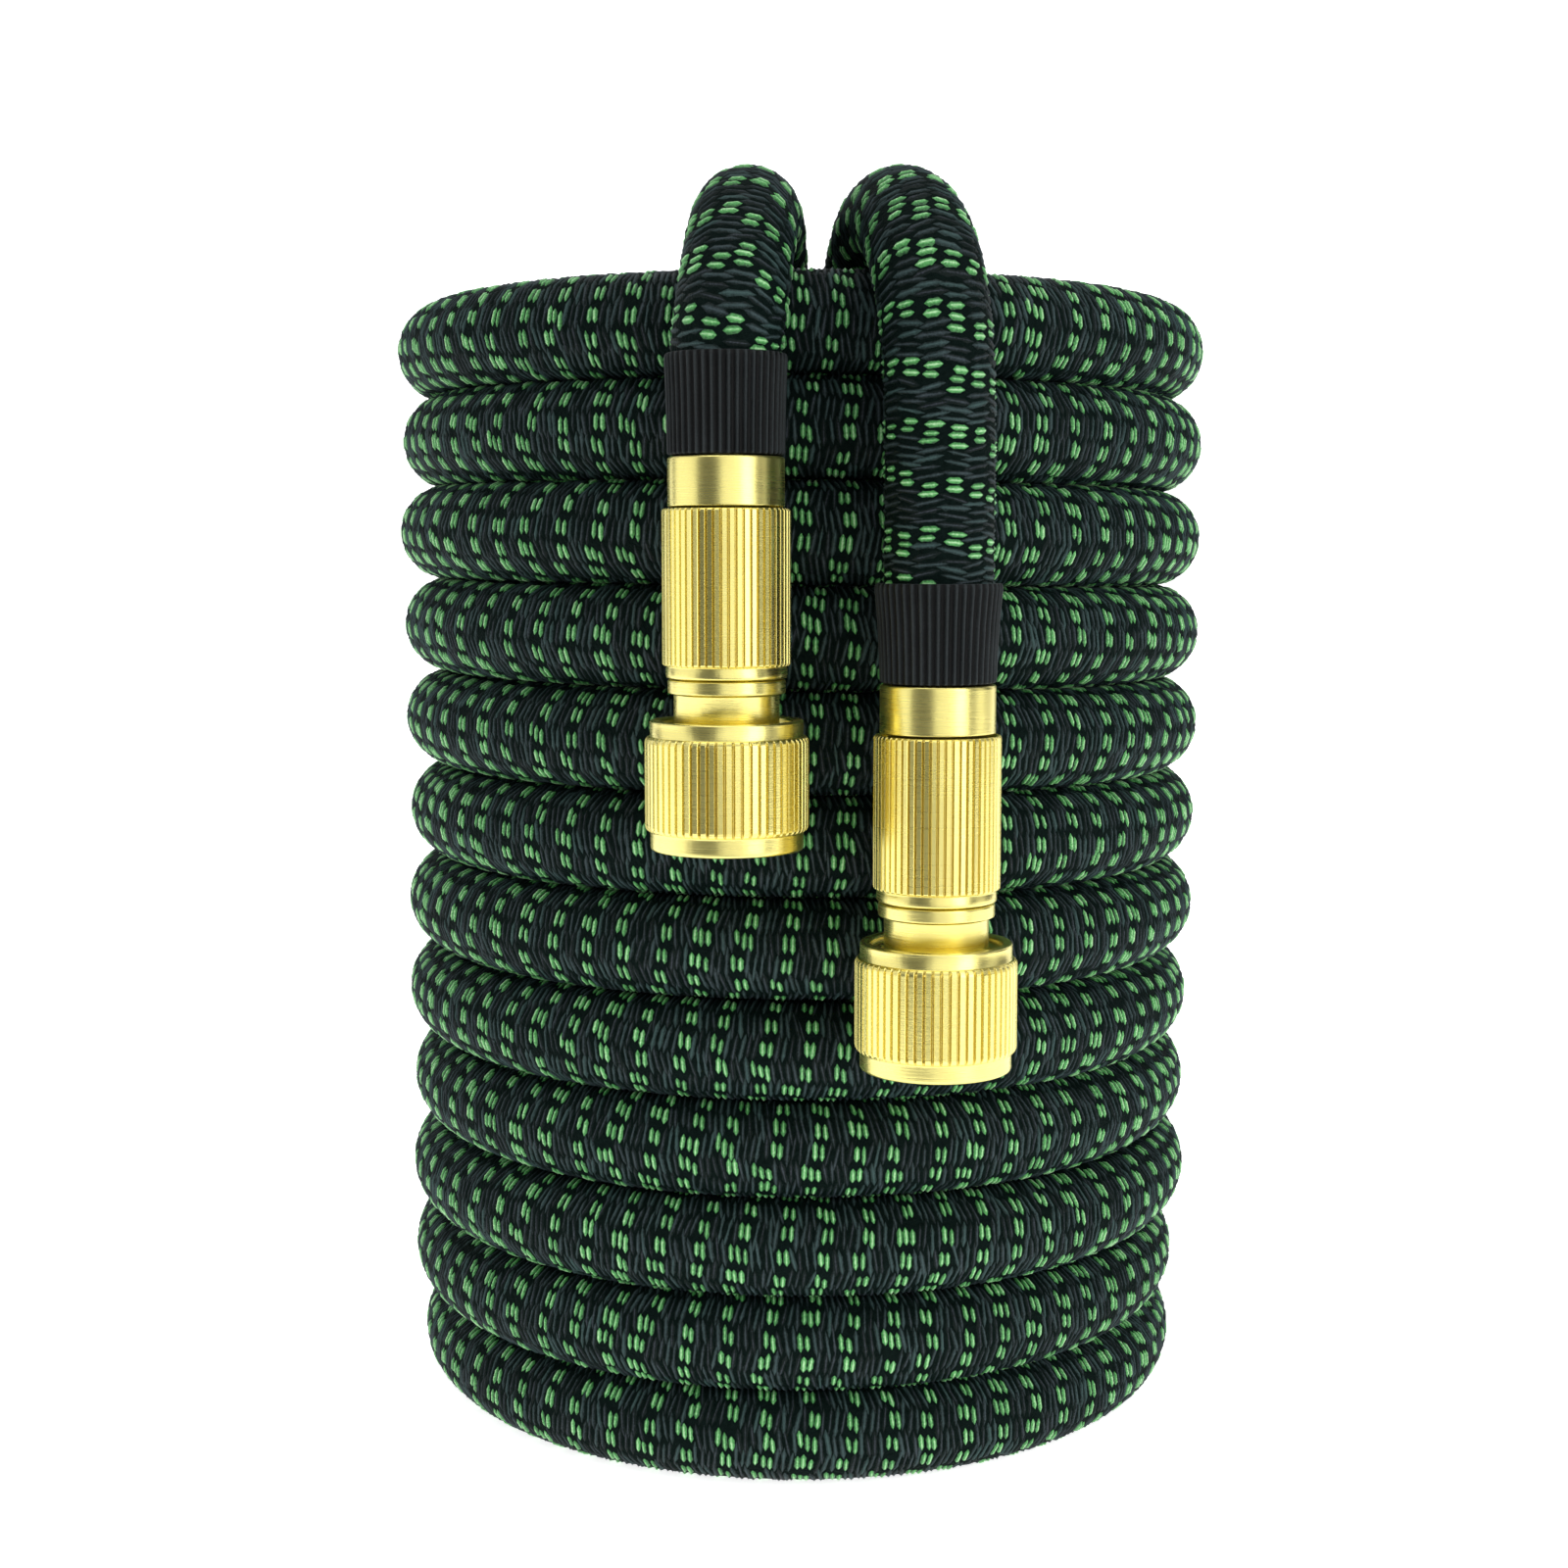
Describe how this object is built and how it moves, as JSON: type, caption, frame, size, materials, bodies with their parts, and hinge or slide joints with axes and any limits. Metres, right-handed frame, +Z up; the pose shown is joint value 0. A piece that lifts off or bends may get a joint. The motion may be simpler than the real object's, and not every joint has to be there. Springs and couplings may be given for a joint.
{
  "type": "expandable garden hose",
  "caption": "Expandable garden hose in a knitted jacket, wound into an upright coil, with a quick connector and a swivel tap nut hanging at each end.",
  "frame": {"origin": "centre of the underside of the whole part's box, on the floor that the coil stands on", "axes": "+Z up along the coil's axis; -Y towards the side where both fittings hang; +X to the right seen from that side"},
  "size_m": [0.1974, 0.231, 0.2886],
  "materials": {
    "knitted_jacket": "black knitted polyester jacket with bright green flecks",
    "collar_rubber": "matte black, fluted along its length",
    "satin_brass": "satin turned brass, sleeve and nut finely knurled",
    "washer_rubber": "black moulded rubber"
  },
  "bodies": {
    "hose": {"hose_coil": "knitted_jacket", "hose_left_lead": "knitted_jacket", "hose_right_lead": "knitted_jacket", "left_collar": "collar_rubber", "left_connector_body": "satin_brass", "left_adapter": "satin_brass", "left_nut_washer": "washer_rubber", "right_collar": "collar_rubber", "right_connector_body": "satin_brass", "right_adapter": "satin_brass", "right_nut_washer": "washer_rubber"},
    "left_sleeve": {"left_release_sleeve": "satin_brass"},
    "left_nut": {"left_tap_nut": "satin_brass"},
    "right_sleeve": {"right_release_sleeve": "satin_brass"},
    "right_nut": {"right_tap_nut": "satin_brass"}
  },
  "joints": [
    {"name": "left_sleeve_slide", "type": "slide", "parent": "hose", "child": "left_sleeve", "axis": [0, 0, 1], "range_m": [0, 0.005], "stiffness_N_per_m": 1500, "springref_m": -0.004},
    {"name": "left_nut_turn", "type": "hinge", "parent": "hose", "child": "left_nut", "pos_m": [-0.0155, -0.09895, 0.158], "axis": [0, 0, 1], "continuous": true},
    {"name": "right_sleeve_slide", "type": "slide", "parent": "hose", "child": "right_sleeve", "axis": [0, 0, 1], "range_m": [0, 0.005], "stiffness_N_per_m": 1500, "springref_m": -0.004},
    {"name": "right_nut_turn", "type": "hinge", "parent": "hose", "child": "right_nut", "pos_m": [0.027, -0.09895, 0.113], "axis": [0, 0, 1], "continuous": true}
  ]
}
